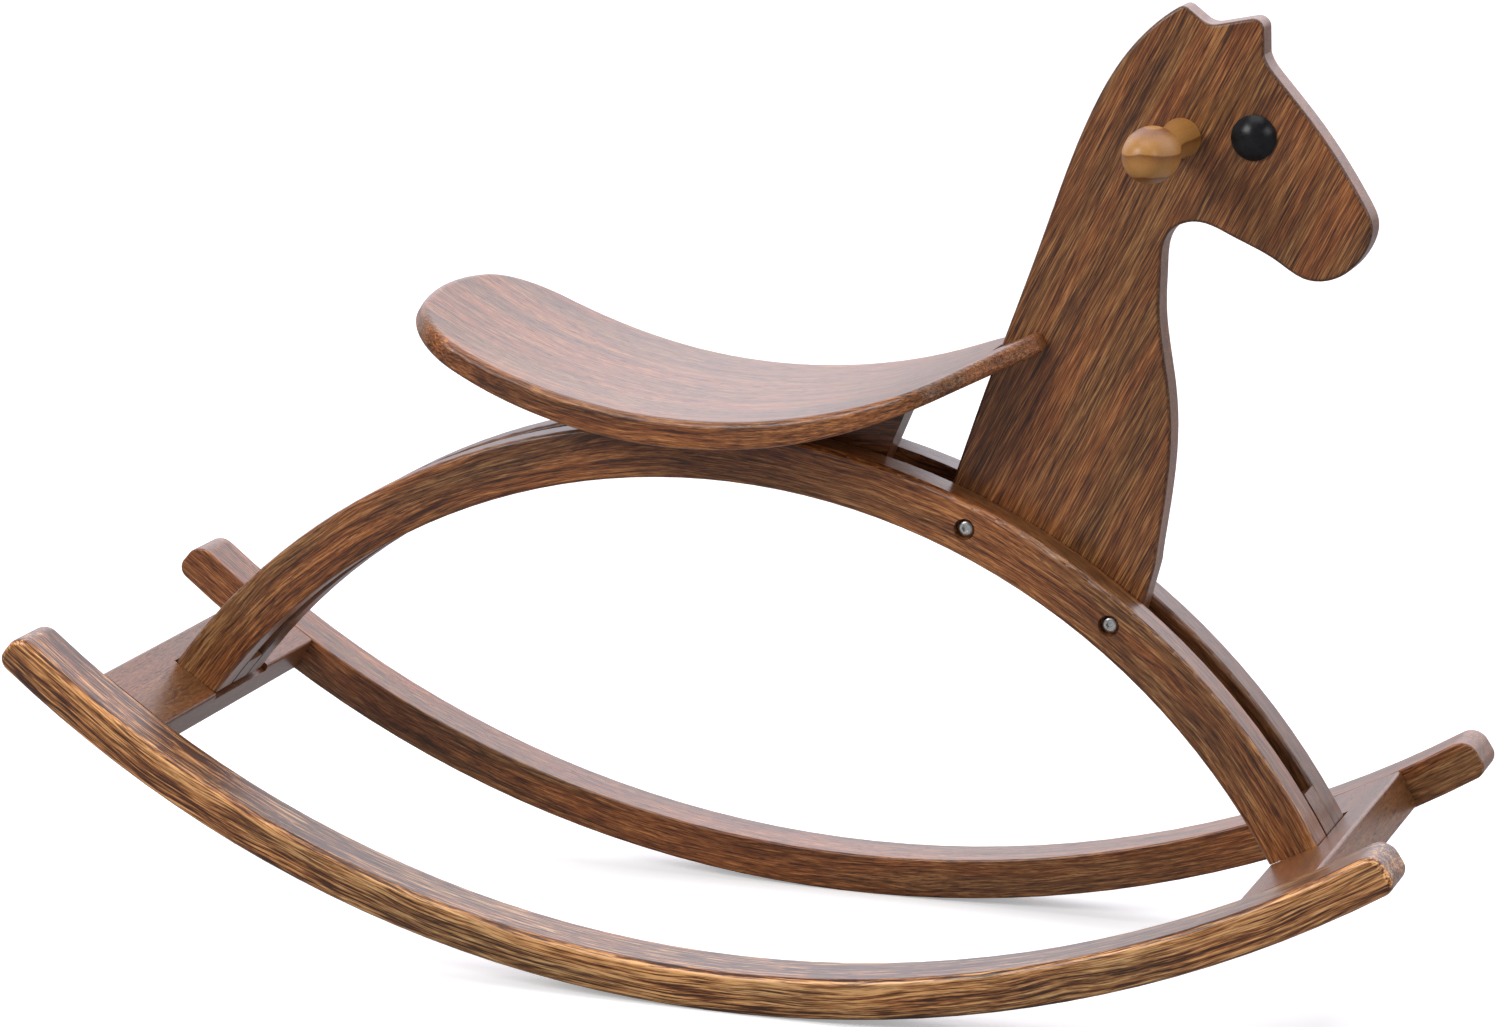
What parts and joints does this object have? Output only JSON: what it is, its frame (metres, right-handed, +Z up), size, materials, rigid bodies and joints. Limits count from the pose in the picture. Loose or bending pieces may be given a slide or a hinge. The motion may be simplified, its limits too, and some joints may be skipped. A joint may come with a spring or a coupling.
{
  "type": "rocking horse",
  "caption": "Small wooden rocking horse: curved rockers, paired arched legs, dished seat, flat head panel with turned hand grips.",
  "frame": {"origin": "the point on the floor that the two rockers stand on at rest, midway between them", "axes": "+X the way the horse faces, +Y to the horse's left, +Z up; the horse rests tipped 3.3 degrees nose-down, as it balances"},
  "size_m": [0.8655, 0.2876, 0.5875],
  "materials": {
    "frame_wood": "walnut-brown stain under satin varnish",
    "head_wood": "walnut-brown stain under matt varnish, open grain",
    "seat_wood": "walnut-brown stain under satin varnish",
    "grip_wood": "clear satin varnish on pale hardwood",
    "dowel_wood": "unfinished beech",
    "eye_black": "polished black",
    "bolt_steel": "bright zinc plate",
    "screw_steel": "zinc plate"
  },
  "bodies": {
    "root": {"right_rocker": "frame_wood", "left_rocker": "frame_wood", "front_crossbar": "frame_wood", "rear_crossbar": "frame_wood", "crossbar_dowels": "dowel_wood", "right_arch": "frame_wood", "left_arch": "frame_wood", "front_foot_block": "frame_wood", "rear_foot_block": "frame_wood", "foot_block_dowels": "dowel_wood", "foot_screws": "screw_steel", "seat": "seat_wood", "seat_rib": "frame_wood", "rib_dowels": "dowel_wood", "seat_screws": "screw_steel", "head_panel": "head_wood", "right_eye": "eye_black", "left_eye": "eye_black", "right_grip": "grip_wood", "left_grip": "grip_wood", "grip_dowel": "dowel_wood", "neck_bolts": "bolt_steel", "neck_sleeve_nuts": "bolt_steel"}
  },
  "joints": []
}
